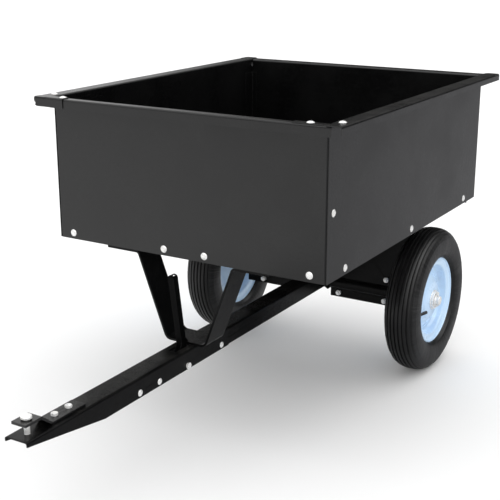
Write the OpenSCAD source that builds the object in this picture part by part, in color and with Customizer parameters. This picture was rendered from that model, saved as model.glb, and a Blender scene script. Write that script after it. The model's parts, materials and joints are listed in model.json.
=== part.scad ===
// Tow-behind dump cart. Millimetres, +Z up, +Y towards the tailgate.
// The origin is on the ground at the centre of the cart's footprint.

/* [Tray] */
// Width across the outside of the side panels
tray_w = 762; // [740:1:790]
// Length from the front panel to the end of the side panels
tray_l = 952; // [930:1:980]
// Height of the tray from its underside to the front rim
tray_h = 358; // [330:1:380]
// Height of the tray's underside above the ground
tray_z = 466; // [462:1:470]
// Thickness of the tray's sheet steel
sheet = 2; // [1.8:0.1:2.2]
// Width of the rim along the sides
side_rim = 41; // [38:1:46]
// Width of the rim along the front
front_rim = 24; // [22:1:28]
// Width of the rim on the tailgate
rear_rim = 33; // [30:1:38]
// Depth of the turned-down lip along the sides and the tailgate
rim_lip = 18; // [14:1:20]
// Depth of the front rim's turned-down lip
front_lip = 23; // [18:1:26]

/* [Wheels] */
// Radius of the tyre over its tread
tyre_r = 206; // [204:1:208]
// Widest part of the tyre
tyre_w = 96; // [92:1:98]
// Distance from the cart's middle to a wheel's middle plane
wheel_x = 327.5; // [326:0.5:329]
// Distance from the front panel back to the axle
axle_back = 735; // [725:1:740]
// Radius of the axle
axle_r = 12.7; // [12:0.1:13]

/* [Tongue] */
// How far the tongue reaches in front of the front panel
tongue_reach = 592; // [580:1:610]
// Width of the tongue's front channel
tongue_w = 60; // [58:1:62]
// Height of the tongue's top face above the ground
tongue_top = 249.5; // [249:0.1:250]
// Thickness of the tongue's steel
tongue_t = 3; // [2.8:0.1:3.1]
// Depth of the tongue's side flanges behind the taper
tongue_depth = 48; // [46:1:50]

/* [Hitch] */
// Thickness of the hitch strap
strap_t = 6; // [5:0.5:6.5]
// Width of the hitch strap
strap_w = 39; // [36:1:42]
// Height of the upper jaw's top face above the tongue
jaw_rise = 31; // [29:1:33]
// Radius of the hitch pin
pin_r = 6.35; // [6:0.05:6.5]

/* [Brace and latch] */
// Thickness of the brace strap under the tray
brace_t = 6; // [5:0.5:7]
// Width of the brace strap, front to back
brace_w = 77; // [70:1:80]
// Width of the latch lever
lever_w = 16; // [14:0.5:17]
// Height of the latch lever's top above the ground
lever_top = 441; // [430:1:446]

/* [Hidden] */
$fn = 64;

// Colours
panel_black = [0.24, 0.24, 0.25];
frame_black = [0.15, 0.15, 0.16];
zinc = [0.86, 0.87, 0.88];
rim_blue = [0.70, 0.82, 0.95];
tyre_black = [0.10, 0.10, 0.10];

// Places along the cart
overall_l = tongue_reach + tray_l + rear_rim;
front_y = tongue_reach - overall_l / 2;
rear_y = front_y + tray_l;
axle_y = front_y + axle_back;
axle_z = tyre_r;
wall_x = tray_w / 2;
rim_z = tray_z + tray_h;
rim_x = wall_x + side_rim;

// Fastener sizes: light carriage bolts, heavy hex bolts
light_r = 3.97;
light_head_r = 9;
light_head_h = 4.2;
light_nut_r = 7.3;
light_nut_h = 6.7;
heavy_r = 4.76;
heavy_hex_r = 8.25;
heavy_nut_h = 8;
hole_gap = 0.35;
thread_gap = 0.1;

// Tray details
bend_r = 4;
flange_h = 32;
corner_return = 45;
lap_front = 22;
tab_gap = 0.2;
guide_h0 = 34;
guide_inset = 17;
gate_y = rear_y - 5;
gate_lift_gap = 3;
front_bolt_x = [-338, -58, 58, 338];
side_bolt_back = [91.6, 478, 858];
panel_bolt_up = 16;
corner_bolt_back = 26;
corner_bolt_up = 159;
rim_bolt_side = [399, 24];
rim_bolt_front = [341, -11.6];
ear_round = 10;

// Bracket details
bracket_in = 28;
bracket_out = 262;
bracket_wing = [14, 90];
bracket_t = 3;
bracket_low = 44;
bracket_foot = 34;
bracket_gap = 1;
saddle_d = 14.5;
bracket_bolts_xz = [[56, -30], [205, -30], [209, 36]];
foot_bolt_x = [75, 210];
foot_bolt_y = 22;

// Brace details
brace_top_x = 136;
brace_base_x = 56;
brace_foot_x = 230;
brace_z = tongue_top + 0.4;
brace_bolt_x = 195;
brace_bolt_y = 48;

// Tongue details
front_channel_back = 150;
rear_channel_front = -262;
tip_depth = 10.5;
taper_start = -497;
taper_end = -350;
lap_gap = 0.2;
tongue_bolt_back = [-225, -150, 116];
tongue_bolt_z = tongue_top - 36;
lever_slot_w = lever_w + 5;
lever_slot = [-56, 10];

// Hitch details
pin_back = -559;
jaw_back = [-582, -534];
strap_foot_back = [-504, -400];
hitch_bolt_back = [-477, -433];
jaw_z = tongue_top + jaw_rise;
throat_h = jaw_rise - strap_t;
pin_hole_gap = 0.65;
pin_tip_z = tongue_top - 29;

// Latch details
pivot_back = -35;
pivot_z = tongue_top - 37.5;
lean = 9.45;
lever_t = 2.5;
lever_deep = 18;
lever_foot_r = 12;
blade_back = 16;
web_low = 28;
lever_reach = 120;
nose_z = tongue_top + 8 - pivot_z;
nose_reach = -pivot_back - 1.2;
spring_wire_r = 1.3;
spring_coil_r = 9;
spring_turns = 4;

// Wheel details, measured from the wheel's middle plane
hub_r = 25;
hub_out = 34;
hub_in = 58;
bearing_r = 16.5;
bearing_l = 18;
rim_t = 2.5;
rim_seat_r = 101.5;
tyre_core_r = 160;
crown_power = 2.5;
bead_x = 15;
bead_w = 8;
groove_x = [5.75, 17, 28, 37];
groove_w = 4;
groove_deep = 4;
washer_t = 2.5;
washer_r = 19;
axle_end = wheel_x + hub_out + 13;
cotter_x = axle_end - 6.5;
cotter_r = 1.9;
valve_angle = 285;
valve_foot = [99.6, 12];
valve_lean = -58;

// ---- Strips of sheet bent along a path ----

function unit(v) = v / norm(v);
function left_of(v) = [-v[1], v[0]];
function turn_of(a, b) = atan2(a[0] * b[1] - a[1] * b[0], a * b);

// The points of one corner's arc, on the side s of the strip's middle line
function corner_points(p, d0, d1, r, s, t, steps = 8) =
  let (
    turn = turn_of(d0, d1),
    bent = sign(turn),
    start = p - d0 * r * tan(abs(turn) / 2),
    centre = start + left_of(d0) * bent * r,
    reach = r - bent * s * t / 2,
    a0 = atan2(-left_of(d0)[1] * bent, -left_of(d0)[0] * bent)
  )
  [for (k = [0:steps]) centre + reach * [cos(a0 + turn * k / steps), sin(a0 + turn * k / steps)]];

function strip_side(path, r, t, s) =
  let (n = len(path), d = [for (i = [0:n - 2]) unit(path[i + 1] - path[i])])
  concat(
    [path[0] + left_of(d[0]) * s * t / 2],
    [for (i = [1:n - 2], p = corner_points(path[i], d[i - 1], d[i], is_list(r) ? r[i - 1] : r, s, t)) p],
    [path[n - 1] + left_of(d[n - 2]) * s * t / 2]
  );

function reversed(list) = [for (i = [len(list) - 1:-1:0]) list[i]];

// A strip of thickness t whose middle line follows path, with middle-line bend radius r
module strip(path, r, t) {
  polygon(concat(strip_side(path, r, t, 1), reversed(strip_side(path, r, t, -1))));
}

// A profile drawn in (Y, Z) and run along X
module along_x(x0, x1) {
  translate([x0, 0, 0]) rotate([90, 0, 90]) linear_extrude(x1 - x0) children();
}

// A profile drawn in (X, Z) and run along Y
module along_y(y0, y1) {
  translate([0, y1, 0]) rotate([90, 0, 0]) linear_extrude(y1 - y0) children();
}

// ---- Placing: local +Z points out of the panel ----

module on_front(x, z) {
  translate([x, front_y, z]) rotate([90, 0, 0]) children();
}

module on_side(side, back, z) {
  translate([side * wall_x, front_y + back, z]) rotate([0, side * 90, 0]) children();
}

module both_sides() {
  for (side = [-1, 1]) scale_x(side) children();
}

module scale_x(side) {
  if (side < 0) mirror([1, 0, 0]) children();
  else children();
}

// ---- Fasteners ----

// Low domed head on z = 0 with a shank of length l below it
module carriage_bolt(r, head_r, head_h, l) {
  dome_r = (head_r * head_r + head_h * head_h) / (2 * head_h);
  intersection() {
    translate([0, 0, head_h - dome_r]) sphere(dome_r);
    cylinder(r = head_r, h = head_h);
  }
  translate([0, 0, -l]) cylinder(r = r, h = l + 0.5);
}

// Hexagon head on z = 0 with a shank of length l below it
module hex_bolt(r, hex_r, head_h, l) {
  cylinder(r = hex_r, h = head_h, $fn = 6);
  translate([0, 0, -l]) cylinder(r = r, h = l + 0.5);
}

// Hexagon nut between z = 0 and z = -h
module hex_nut(r, hex_r, h) {
  translate([0, 0, -h]) difference() {
    cylinder(r = hex_r, h = h, $fn = 6);
    translate([0, 0, -1]) cylinder(r = r + thread_gap, h = h + 2);
  }
}

// A clearance hole through everything within l of the face on both sides
module clear_hole(r, l = 12) {
  translate([0, 0, -l]) cylinder(r = r + hole_gap, h = 2 * l);
}

module light_bolt(l) {
  carriage_bolt(light_r, light_head_r, light_head_h, l);
}

module light_nut(depth) {
  translate([0, 0, -depth]) hex_nut(light_r, light_nut_r, light_nut_h);
}

// ---- Where the tray's fasteners sit ----

module at_front_bolts() {
  for (x = front_bolt_x) on_front(x, tray_z + panel_bolt_up) children();
}

module at_side_bolts(side) {
  for (back = side_bolt_back) on_side(side, back, tray_z + panel_bolt_up) children();
}

module at_corner_bolt(side) {
  on_side(side, corner_bolt_back, tray_z + corner_bolt_up) children();
}

module at_rim_bolts(side) {
  for (p = [rim_bolt_side, rim_bolt_front])
    translate([side * p[0], front_y + p[1], rim_z + sheet]) children();
}

module at_brace_bolts() {
  for (side = [-1, 1]) translate([side * brace_bolt_x, front_y + brace_bolt_y, tray_z + sheet]) children();
}

module at_foot_bolts(side, half) {
  for (x = foot_bolt_x)
    translate([side * x, axle_y + half * foot_bolt_y, tray_z + sheet]) children();
}

module at_bracket_bolts(side) {
  for (p = bracket_bolts_xz)
    translate([side * p[0], axle_y, axle_z + p[1]]) rotate([90, 0, 0]) children();
}

// ---- Tray ----

module tray_floor() {
  mid_z = tray_z + sheet / 2;
  side_x = wall_x - sheet * 1.5;
  flange_z = tray_z + flange_h;
  color(panel_black) difference() {
    union() {
      translate([-side_x + bend_r, front_y + sheet * 2, tray_z])
        cube([2 * (side_x - bend_r), tray_l - sheet * 3 - bend_r, sheet]);
      along_y(front_y + corner_return + 3, rear_y - 12)
        strip([[-side_x, flange_z], [-side_x, mid_z], [side_x, mid_z], [side_x, flange_z]], bend_r, sheet);
      along_x(-side_x + 8, side_x - 8)
        strip([[front_y + 60, mid_z], [front_y + sheet * 1.5, mid_z], [front_y + sheet * 1.5, flange_z]],
          bend_r, sheet);
      along_x(-side_x + 18, side_x - 18)
        strip([[rear_y - 60, mid_z], [rear_y - sheet * 1.5, mid_z], [rear_y - sheet * 1.5, tray_z - 20]],
          bend_r, sheet);
    }
    at_front_bolts() clear_hole(light_r);
    for (side = [-1, 1]) {
      at_side_bolts(side) clear_hole(light_r);
      for (half = [-1, 1]) at_foot_bolts(side, half) clear_hole(light_r);
    }
    at_brace_bolts() clear_hole(light_r);
  }
}

module front_panel() {
  face_y = front_y + sheet / 2;
  lip_y = front_y - front_rim + sheet / 2;
  edge_x = wall_x - sheet * 1.5;
  flat_z = rim_z - sheet / 2;
  color(panel_black) difference() {
    union() {
      translate([0, 0, tray_z]) linear_extrude(tray_h - 2 * bend_r)
        strip([[-edge_x, front_y + corner_return], [-edge_x, face_y], [edge_x, face_y],
          [edge_x, front_y + corner_return]], bend_r, sheet);
      along_x(-edge_x + bend_r, edge_x - bend_r)
        strip([[face_y, rim_z - 40], [face_y, flat_z], [lip_y, flat_z], [lip_y, rim_z - front_lip]],
          bend_r, sheet);
      along_x(edge_x - 10, rim_x - 26)
        strip([[front_y - 5, flat_z], [lip_y, flat_z], [lip_y, rim_z - front_lip]], bend_r, sheet);
      both_sides() {
        translate([edge_x - 10, front_y - lap_front + 4, rim_z - sheet])
          cube([rim_x - edge_x + 5, lap_front - 6, sheet]);
        translate([wall_x + 3, front_y - lap_front + 4, rim_z - sheet])
          cube([side_rim - 8, lap_front + 58, sheet]);
      }
    }
    at_front_bolts() clear_hole(light_r);
    for (side = [-1, 1]) {
      at_corner_bolt(side) clear_hole(light_r);
      at_rim_bolts(side) clear_hole(light_r);
    }
  }
}

// One side panel, drawn for the +X side. Its rim laps across the front rim by wrap;
// with_ear turns it down in front as well
module side_panel(side, wrap, with_ear) {
  mid_x = wall_x - sheet / 2;
  flat_z = rim_z + sheet / 2;
  lip_x = rim_x - sheet / 2;
  lip_z = rim_z + sheet - rim_lip;
  rear_lip_y = rear_y + rear_rim - sheet / 2;
  front_lip_y = front_y - front_rim - sheet / 2 - tab_gap;
  ear_z = rim_z + sheet - front_lip - 1;
  color(panel_black) scale_x(side) difference() {
    union() {
      along_y(front_y + 0.5, rear_y)
        strip([[mid_x, tray_z], [mid_x, flat_z], [lip_x, flat_z], [lip_x, lip_z]], bend_r, sheet);
      translate([0, 0, tray_z + 2]) linear_extrude(tray_h - rim_lip - 6)
        strip([[mid_x, rear_y - 30], [mid_x, rear_y - sheet / 2], [mid_x - 18, rear_y - sheet / 2]],
          bend_r, sheet);
      along_y(front_lip_y - sheet / 2, rear_y + rear_rim)
        strip([[wall_x + 6, flat_z], [lip_x, flat_z], [lip_x, lip_z]], bend_r, sheet);
      along_x(wall_x + 2, rim_x - 1)
        strip([[rear_y - 5, flat_z], [rear_lip_y, flat_z], [rear_lip_y, lip_z]], bend_r, sheet);
      translate([wall_x - wrap, front_lip_y + bend_r, rim_z])
        cube([wrap + 8, front_rim - bend_r - 1, sheet]);
      if (with_ear) along_x(wall_x - wrap, rim_x - 1)
        strip([[front_y - 5, flat_z], [front_lip_y, flat_z], [front_lip_y, ear_z]], bend_r, sheet);
      else translate([wall_x + 1, front_lip_y - sheet / 2, rim_z]) cube([8, front_rim, sheet]);
    }
    if (with_ear) {
      along_y(front_lip_y - sheet, front_lip_y + sheet) ear_corner(rim_x, ear_z);
      along_x(rim_x - 2 * sheet, rim_x + sheet) ear_corner_side(front_lip_y - sheet / 2, lip_z);
    }
    at_corner_bolt(1) clear_hole(light_r);
    at_side_bolts(1) clear_hole(light_r);
    at_rim_bolts(1) clear_hole(light_r);
  }
}

// What is cut away to round the ear's lower corner at (x, z)
module ear_corner(x, z) {
  difference() {
    translate([x - ear_round, z - 1]) square(ear_round + 1);
    translate([x - ear_round, z + ear_round]) circle(ear_round);
  }
}

module ear_corner_side(y, z) {
  mirror([1, 0, 0]) ear_corner(-y, z);
}

module side_panel_left() {
  side_panel(-1, 49, true);
}

module side_panel_right() {
  side_panel(1, 81, false);
}

module tailgate() {
  wall_z = tray_z + sheet + 1;
  flat_z = rim_z - sheet / 2;
  lip_y = rear_y + rear_rim - sheet / 2;
  color(panel_black) {
    along_x(-wall_x + sheet + gate_lift_gap, wall_x - sheet - gate_lift_gap)
      strip([[gate_y, wall_z], [gate_y, rim_z - 30]], bend_r, sheet);
    along_x(-wall_x + sheet + gate_lift_gap, wall_x - sheet - gate_lift_gap)
      strip([[gate_y, rim_z - 40], [gate_y, flat_z], [lip_y, flat_z], [lip_y, rim_z - rim_lip]],
        bend_r, sheet);
    along_x(-wall_x, wall_x)
      strip([[rear_y + bend_r, flat_z], [lip_y, flat_z], [lip_y, rim_z - rim_lip]], bend_r, sheet);
  }
}

module tailgate_guides() {
  leg_x = wall_x - sheet * 1.5;
  color(panel_black) both_sides()
    translate([0, 0, tray_z + guide_h0]) linear_extrude(tray_h - guide_h0 - 40)
      strip([[leg_x, gate_y - 42], [leg_x, gate_y - 3], [leg_x - guide_inset, gate_y - 3]], bend_r, sheet);
}

module panel_bolts() {
  color(zinc) {
    at_front_bolts() light_bolt(16);
    for (side = [-1, 1]) {
      at_side_bolts(side) light_bolt(16);
      at_corner_bolt(side) light_bolt(16);
    }
  }
}

module panel_nuts() {
  color(zinc) {
    at_front_bolts() light_nut(2 * sheet);
    for (side = [-1, 1]) {
      at_side_bolts(side) light_nut(2 * sheet);
      at_corner_bolt(side) light_nut(2 * sheet);
    }
  }
}

module rim_bolts() {
  color(zinc) for (side = [-1, 1]) at_rim_bolts(side) light_bolt(15);
}

module rim_nuts() {
  color(zinc) for (side = [-1, 1]) at_rim_bolts(side) light_nut(2 * sheet);
}

// ---- Brace that carries the front of the tray on the tongue ----

module brace() {
  top_z = tray_z - brace_t / 2;
  base_z = brace_z + brace_t / 2;
  color(frame_black) difference() {
    along_y(front_y, front_y + brace_w)
      strip([[-brace_foot_x, top_z], [-brace_top_x, top_z], [-brace_base_x, base_z],
        [brace_base_x, base_z], [brace_top_x, top_z], [brace_foot_x, top_z]], [10, 18, 18, 10], brace_t);
    at_brace_bolts() clear_hole(light_r);
  }
}

module brace_bolts() {
  color(zinc) at_brace_bolts() light_bolt(22);
}

module brace_nuts() {
  color(zinc) at_brace_bolts() light_nut(sheet + brace_t);
}

// ---- Axle brackets: pressed halves that close on the axle ----

// half is -1 for the front half and 1 for the rear half
module bracket(side, half) {
  plate_y = axle_y + half * (bracket_gap + bracket_t / 2);
  nose_y = plate_y + half * saddle_d;
  foot_y = axle_y + half * bracket_foot;
  top_z = tray_z - bracket_t / 2;
  color(frame_black) scale_x(side) difference() {
    union() {
      along_x(bracket_in, bracket_out)
        strip([[foot_y, top_z], [plate_y, top_z], [plate_y, axle_z + saddle_d], [nose_y, axle_z + saddle_d],
          [nose_y, axle_z - saddle_d], [plate_y, axle_z - saddle_d], [plate_y, axle_z - bracket_low]],
          [4, 3, 11.4, 11.4, 3], bracket_t);
      along_x(bracket_out - 1, bracket_out + bracket_wing[0])
        strip([[foot_y, top_z], [plate_y, top_z], [plate_y, axle_z + bracket_wing[1]]], 4, bracket_t);
    }
    at_bracket_bolts(1) clear_hole(heavy_r);
    at_foot_bolts(1, half) clear_hole(light_r);
  }
}

module bracket_left_front() {
  bracket(-1, -1);
}

module bracket_left_rear() {
  bracket(-1, 1);
}

module bracket_right_front() {
  bracket(1, -1);
}

module bracket_right_rear() {
  bracket(1, 1);
}

module bracket_bolts() {
  grip = bracket_gap + bracket_t;
  color(zinc) for (side = [-1, 1])
    at_bracket_bolts(side) rotate([180, 0, 0]) translate([0, 0, grip])
      hex_bolt(heavy_r, heavy_hex_r, 6, 2 * grip + heavy_nut_h + 3);
}

module bracket_nuts() {
  grip = bracket_gap + bracket_t;
  color(zinc) for (side = [-1, 1])
    at_bracket_bolts(side) translate([0, 0, grip + heavy_nut_h]) hex_nut(heavy_r, heavy_hex_r, heavy_nut_h);
}

module bracket_floor_bolts() {
  color(zinc) for (side = [-1, 1], half = [-1, 1]) at_foot_bolts(side, half) light_bolt(18);
}

module bracket_floor_nuts() {
  color(zinc) for (side = [-1, 1], half = [-1, 1])
    at_foot_bolts(side, half) light_nut(sheet + bracket_t);
}

// ---- Axle ----

module round_x(r, x0, x1) {
  translate([x0, axle_y, axle_z]) rotate([0, 90, 0]) cylinder(r = r, h = x1 - x0);
}

module ring_x(r, bore, x0, x1) {
  difference() {
    round_x(r, x0, x1);
    round_x(bore, x0 - 1, x1 + 1);
  }
}

module axle() {
  color(zinc) difference() {
    round_x(axle_r, -axle_end, axle_end);
    for (side = [-1, 1])
      translate([side * cotter_x, axle_y, axle_z - axle_r - 1])
        cylinder(r = cotter_r + 0.25, h = 2 * axle_r + 2);
  }
}

module axle_collars() {
  color(zinc) both_sides() ring_x(washer_r, axle_r + 0.1, bracket_out + 1, wheel_x - hub_in - 1);
}

module axle_washers() {
  x0 = wheel_x + hub_out + 1;
  color(zinc) both_sides() ring_x(washer_r, axle_r + 0.1, x0, x0 + washer_t);
}

module cotter_pins() {
  color(zinc) both_sides() translate([cotter_x, axle_y, axle_z]) {
    translate([0, 0, -axle_r - 8]) cylinder(r = cotter_r, h = 2 * axle_r + 11);
    translate([0, 0, axle_r + 5.5]) rotate([0, 90, 0]) rotate_extrude() translate([3.2, 0]) circle(cotter_r);
  }
}

// ---- Wheels, drawn with +X outwards and placed on either side ----

// Radius of the tyre's crown at a distance x from its middle plane
function crown_r(x) =
  tyre_core_r + (tyre_r - tyre_core_r) * pow(1 - pow(abs(x) / (tyre_w / 2), crown_power), 1 / crown_power);

// Points around a rounded section of half width a and half height b, between two angles
function bulge(a, b, n, from, to, count) = [
  for (i = [0:count], turn = from + (to - from) * i / count) [
    tyre_core_r + b * sign(sin(turn)) * pow(abs(sin(turn)), 2 / n),
    a * sign(cos(turn)) * pow(abs(cos(turn)), 2 / n)
  ]
];

module place_wheel(side) {
  scale_x(side) translate([wheel_x, axle_y, axle_z]) rotate([0, 90, 0]) children();
}

// From the inside of one bead round its foot to the flange, on the side s of the middle plane
function bead_outline(s) = [
  [rim_seat_r + 3, s * bead_x], [rim_seat_r + 3, s * (bead_x + bead_w)],
  [rim_seat_r + 11, s * (bead_x + bead_w + 1)], [rim_seat_r + 18.5, s * (bead_x + bead_w + 3.5)]
];

module tyre(side) {
  crown = tyre_r - tyre_core_r;
  color(tyre_black) place_wheel(side) rotate_extrude() difference() {
    polygon(concat(
      bulge(tyre_w / 2, crown, crown_power, -47, 227, 42),
      reversed(bead_outline(-1)),
      bulge(tyre_w / 2 - 7, crown - 9, crown_power - 0.1, 245, -65, 30),
      bead_outline(1)
    ));
    for (x = groove_x, s = [-1, 1])
      translate([crown_r(x) - groove_deep, s * x - groove_w / 2]) square([groove_deep + 8, groove_w]);
  }
}

// Middle line of a pressed rim half in (radius, distance from the middle plane)
function rim_path() = [
  [hub_r + 1, 25], [50, 20.5], [82, rim_t / 2], [95, rim_t / 2], [99.5, 11],
  [rim_seat_r, 25], [113, 26.5], [120.5, 30.5]
];

// Local +Z runs along the valve stem, from its hole in the rim towards the hub
module on_valve_axis() {
  rotate([0, 0, valve_angle]) translate([valve_foot[0], 0, valve_foot[1]])
    rotate([0, valve_lean, 0]) children();
}

module rim_half(side, face) {
  color(rim_blue) place_wheel(side) difference() {
    rotate_extrude() mirror([0, face < 0 ? 1 : 0]) strip(rim_path(), [18, 9, 5, 20, 4, 5], rim_t);
    if (face > 0) on_valve_axis() cylinder(r = 5.2, h = 12, center = true);
  }
}

module hub(side) {
  color(zinc) place_wheel(side) difference() {
    translate([0, 0, -hub_in]) cylinder(r = hub_r, h = hub_in + hub_out);
    translate([0, 0, -hub_in - 1]) cylinder(r = axle_r + 1.3, h = hub_in + hub_out + 2);
    for (z = [-hub_in - 1, hub_out - bearing_l])
      translate([0, 0, z]) cylinder(r = bearing_r, h = bearing_l + 1);
  }
}

module bearings(side) {
  color(zinc) place_wheel(side) for (z = [-hub_in, hub_out - bearing_l]) translate([0, 0, z]) difference() {
    cylinder(r = bearing_r, h = bearing_l);
    translate([0, 0, -1]) cylinder(r = axle_r + 0.05, h = bearing_l + 2);
  }
}

module valve(side) {
  color(tyre_black) place_wheel(side) on_valve_axis() {
    translate([0, 0, -7]) cylinder(r = 4.9, h = 20);
    translate([0, 0, 7]) cylinder(r = 7.5, h = 4);
    translate([0, 0, 10]) cylinder(r = 4, h = 30);
  }
}

module tyre_left() {
  tyre(-1);
}

module rim_outer_left() {
  rim_half(-1, 1);
}

module rim_inner_left() {
  rim_half(-1, -1);
}

module hub_left() {
  hub(-1);
}

module bearings_left() {
  bearings(-1);
}

module valve_left() {
  valve(-1);
}

module tyre_right() {
  tyre(1);
}

module rim_outer_right() {
  rim_half(1, 1);
}

module rim_inner_right() {
  rim_half(1, -1);
}

module hub_right() {
  hub(1);
}

module bearings_right() {
  bearings(1);
}

module valve_right() {
  valve(1);
}

// ---- Tongue: two channels, one nested in the other ----

// A channel open below, of outside width w and top face z, between two distances from the front panel
module channel(w, top, back0, back1) {
  mid_x = w / 2 - tongue_t / 2;
  mid_z = top - tongue_t / 2;
  along_y(front_y + back0, front_y + back1)
    strip([[-mid_x, tongue_top - tongue_depth], [-mid_x, mid_z], [mid_x, mid_z],
      [mid_x, tongue_top - tongue_depth]], 4, tongue_t);
}

module lever_opening() {
  translate([-lever_slot_w / 2, front_y + lever_slot[0], tongue_top - 20])
    cube([lever_slot_w, lever_slot[1] - lever_slot[0], 40]);
}

module at_tongue_side(back, z) {
  translate([tongue_w / 2, front_y + back, z]) rotate([0, 90, 0]) children();
}

module tongue_cross_holes() {
  for (back = tongue_bolt_back)
    at_tongue_side(back, tongue_bolt_z) clear_hole(light_r, tongue_w + 10);
  at_tongue_side(pivot_back, pivot_z) clear_hole(heavy_r, tongue_w + 10);
}

module tongue_front() {
  z0 = tongue_top - tongue_depth;
  color(frame_black) difference() {
    channel(tongue_w, tongue_top, -tongue_reach, front_channel_back);
    along_x(-tongue_w, tongue_w) polygon([
      [front_y - tongue_reach - 1, z0 - 1], [front_y - tongue_reach - 1, tongue_top - tip_depth],
      [front_y + taper_start, tongue_top - 25], [front_y + taper_end, z0], [front_y + taper_end, z0 - 1]
    ]);
    lever_opening();
    tongue_cross_holes();
    for (back = hitch_bolt_back)
      translate([0, front_y + back, tongue_top]) clear_hole(heavy_r);
    translate([0, front_y + pin_back, tongue_top]) clear_hole(pin_r + pin_hole_gap - hole_gap);
  }
}

module tongue_rear() {
  w = tongue_w - 2 * tongue_t - 2 * lap_gap;
  top = tongue_top - tongue_t - lap_gap;
  lug_low = axle_z - 20;
  rear_end = axle_back + 24;
  color(frame_black) difference() {
    union() {
      channel(w, top, rear_channel_front, rear_end);
      for (x = [-w / 2, w / 2 - tongue_t])
        along_x(x, x + tongue_t) polygon([
          [front_y + 690, tongue_top - tongue_depth + 1], [front_y + 715, lug_low],
          [front_y + rear_end, lug_low], [front_y + rear_end, tongue_top - tongue_depth + 1]
        ]);
    }
    lever_opening();
    tongue_cross_holes();
    round_x(axle_r + 0.08, -tongue_w, tongue_w);
  }
}

module tongue_bolts() {
  color(zinc) for (back = tongue_bolt_back)
    at_tongue_side(back, tongue_bolt_z) carriage_bolt(light_r, 8, light_head_h, tongue_w + light_nut_h + 3);
}

module tongue_nuts() {
  color(zinc) for (back = tongue_bolt_back)
    at_tongue_side(back, tongue_bolt_z) translate([0, 0, -tongue_w])
      hex_nut(light_r, light_nut_r, light_nut_h);
}

// ---- Hitch ----

module hitch_strap() {
  foot_z = tongue_top + strap_t / 2;
  jaw_mid = jaw_z - strap_t / 2;
  color(frame_black) difference() {
    along_x(-strap_w / 2, strap_w / 2)
      strip([[front_y + jaw_back[0], jaw_mid], [front_y + jaw_back[1], jaw_mid],
        [front_y + strap_foot_back[0], foot_z], [front_y + strap_foot_back[1], foot_z]], 8, strap_t);
    for (back = hitch_bolt_back)
      translate([0, front_y + back, tongue_top]) clear_hole(heavy_r);
    translate([0, front_y + pin_back, jaw_z]) clear_hole(pin_r + pin_hole_gap - hole_gap);
  }
}

module hitch_bolts() {
  color(zinc) for (back = hitch_bolt_back)
    translate([0, front_y + back, tongue_top + strap_t])
      hex_bolt(heavy_r, heavy_hex_r, 6, strap_t + tongue_t + heavy_nut_h + 3);
}

module hitch_nuts() {
  color(zinc) for (back = hitch_bolt_back)
    translate([0, front_y + back, tongue_top - tongue_t]) hex_nut(heavy_r, heavy_hex_r, heavy_nut_h);
}

// The two grooves set off the stretch of shank that carries the drawbar
module hitch_pin() {
  groove = 2;
  color(zinc) translate([0, front_y + pin_back, 0]) difference() {
    union() {
      translate([0, 0, jaw_z + 0.2]) cylinder(r = 12, h = 6);
      translate([0, 0, jaw_z + 6.2]) cylinder(r1 = 12, r2 = 9.5, h = 2.5);
      translate([0, 0, pin_tip_z]) cylinder(r = pin_r, h = jaw_z - pin_tip_z + 1);
      translate([0, 0, pin_tip_z - 3]) cylinder(r1 = pin_r - 3, r2 = pin_r, h = 3);
    }
    for (z = [tongue_top, tongue_top + throat_h - groove])
      translate([0, 0, z]) difference() {
        cylinder(r = pin_r + 1, h = groove);
        translate([0, 0, -1]) cylinder(r = pin_r - 0.8, h = groove + 2);
      }
  }
}

// ---- Latch ----

// Side view of a lever cheek, in (Y, Z) from the pivot
module cheek_outline() {
  blade_l = (lever_top - pivot_z) / cos(lean);
  rotate(lean) translate([blade_back, 0]) {
    translate([0, 14]) square([lever_deep, blade_l - 14 - lever_deep / 2]);
    translate([lever_deep / 2, blade_l - lever_deep / 2]) circle(lever_deep / 2);
  }
  circle(lever_foot_r);
  polygon([[-11.5, 3.5], [8, 48], [26, 51], [31, 19.5], [9, -8]]);
  polygon([[20, nose_z], [nose_reach, nose_z], [nose_reach, nose_z + 5], [24, nose_z + 14]]);
}

// Front view of the lever, with its rounded top
module lever_front() {
  round_z = lever_top - pivot_z - lever_w / 2;
  translate([0, round_z]) circle(lever_w / 2);
  translate([-lever_w / 2, -lever_w]) square([lever_w, round_z + lever_w]);
}

module latch_lever() {
  blade_l = (lever_top - pivot_z) / cos(lean);
  half = lever_w / 2;
  color(frame_black) translate([0, front_y + pivot_back, pivot_z]) difference() {
    intersection() {
      union() {
        for (x = [-half, half - lever_t]) along_x(x, x + lever_t) cheek_outline();
        along_x(-half, half) rotate(lean) translate([blade_back, web_low])
          square([lever_t, blade_l - web_low - lever_deep / 2]);
        along_x(-half, half) rotate(lean) translate([blade_back + lever_deep / 2, blade_l - lever_deep / 2])
          difference() {
            circle(lever_deep / 2);
            circle(lever_deep / 2 - lever_t);
            translate([-20, -40]) square([40, 40]);
          }
      }
      along_y(-lever_reach, lever_reach) lever_front();
    }
    translate([-tongue_w, 0, 0]) rotate([0, 90, 0]) cylinder(r = heavy_r + 0.1, h = 2 * tongue_w);
  }
}

module latch_pivot() {
  color(zinc) at_tongue_side(pivot_back, pivot_z)
    hex_bolt(heavy_r, heavy_hex_r, 6, tongue_w + heavy_nut_h + 3);
}

module latch_pivot_nut() {
  color(zinc) at_tongue_side(pivot_back, pivot_z) translate([0, 0, -tongue_w])
    hex_nut(heavy_r, heavy_hex_r, heavy_nut_h);
}

// Closed coils around the pivot between the lever and the channel
module latch_spring() {
  pitch = 2 * spring_wire_r;
  color(zinc) translate([lever_w / 2 + 1, front_y + pivot_back, pivot_z]) rotate([0, 90, 0])
    for (i = [0:spring_turns - 1]) translate([0, 0, spring_wire_r + i * pitch * 0.96])
      rotate_extrude() translate([spring_coil_r, 0]) circle(spring_wire_r, $fn = 16);
}

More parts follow.
